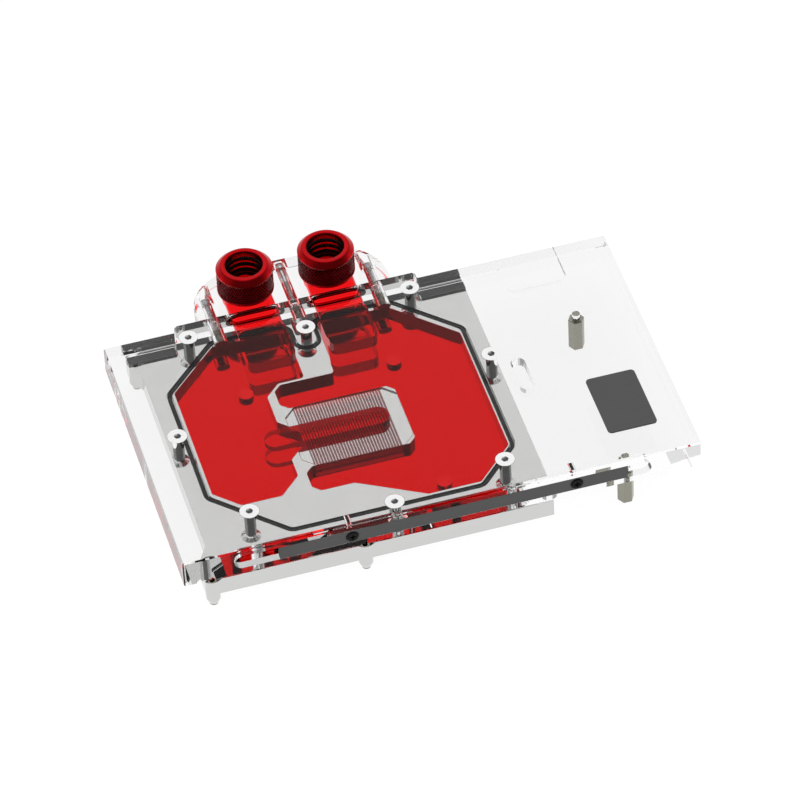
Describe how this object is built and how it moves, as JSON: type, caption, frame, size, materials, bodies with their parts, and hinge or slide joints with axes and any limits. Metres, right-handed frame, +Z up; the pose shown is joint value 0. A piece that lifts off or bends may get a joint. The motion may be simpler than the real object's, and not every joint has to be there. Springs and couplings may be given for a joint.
{
  "type": "gpu water block",
  "caption": "Full-length graphics card water block: clear cover over a finned nickel cold plate, side terminal with two red tube fittings.",
  "frame": {"origin": "centre of the bounding box in plan, at the level of the leg tips that stand on the circuit board", "axes": "+X along the cover towards its free end, +Y from the front edge to the terminal, +Z up out of the circuit board"},
  "size_m": [0.2, 0.1474, 0.0389],
  "materials": {
    "clear_acrylic": "polished clear acrylic",
    "nickel_plate": "bright nickel plating over milled copper",
    "red_coolant": "clear red liquid",
    "black_rubber": "matt moulded seal",
    "red_anodised": "satin red anodising",
    "stainless_screw": "bright stainless steel",
    "black_screw": "black oxide",
    "dark_bar": "dark grey brushed anodising",
    "light_board": "white solder mask",
    "black_strip": "black solder mask",
    "plated_brass": "dull nickel-plated brass"
  },
  "bodies": {
    "root": {"cover_plate": "clear_acrylic", "terminal_block": "clear_acrylic", "cold_plate": "nickel_plate", "coolant_inlet": "red_coolant", "coolant_outlet": "red_coolant", "chamber_seal": "black_rubber", "port_seal_left": "black_rubber", "port_seal_right": "black_rubber", "base_seal_left": "black_rubber", "base_seal_right": "black_rubber", "tube_seal_left_1": "black_rubber", "tube_seal_left_2": "black_rubber", "tube_seal_left_3": "black_rubber", "tube_seal_right_1": "black_rubber", "tube_seal_right_2": "black_rubber", "tube_seal_right_3": "black_rubber", "fitting_body_left": "red_anodised", "fitting_body_right": "red_anodised", "collar_left": "red_anodised", "collar_right": "red_anodised", "cover_screw_1": "stainless_screw", "cover_screw_2": "stainless_screw", "cover_screw_3": "stainless_screw", "cover_screw_4": "stainless_screw", "cover_screw_5": "stainless_screw", "cover_screw_6": "stainless_screw", "cover_screw_7": "stainless_screw", "cover_screw_8": "stainless_screw", "terminal_screw_left": "stainless_screw", "terminal_screw_middle": "stainless_screw", "terminal_screw_right": "stainless_screw", "light_screw_left": "black_screw", "light_screw_right": "black_screw", "light_bar": "dark_bar", "badge": "dark_bar", "light_strip": "light_board", "rear_light_strip_left": "black_strip", "rear_light_strip_right": "black_strip", "standoff_front": "plated_brass", "standoff_rear": "plated_brass", "leg_insert_front_left": "plated_brass", "leg_insert_front_middle": "plated_brass", "leg_insert_rear_left": "plated_brass", "terminal_insert_left": "plated_brass", "terminal_insert_middle": "plated_brass", "terminal_insert_right": "plated_brass"}
  },
  "joints": []
}
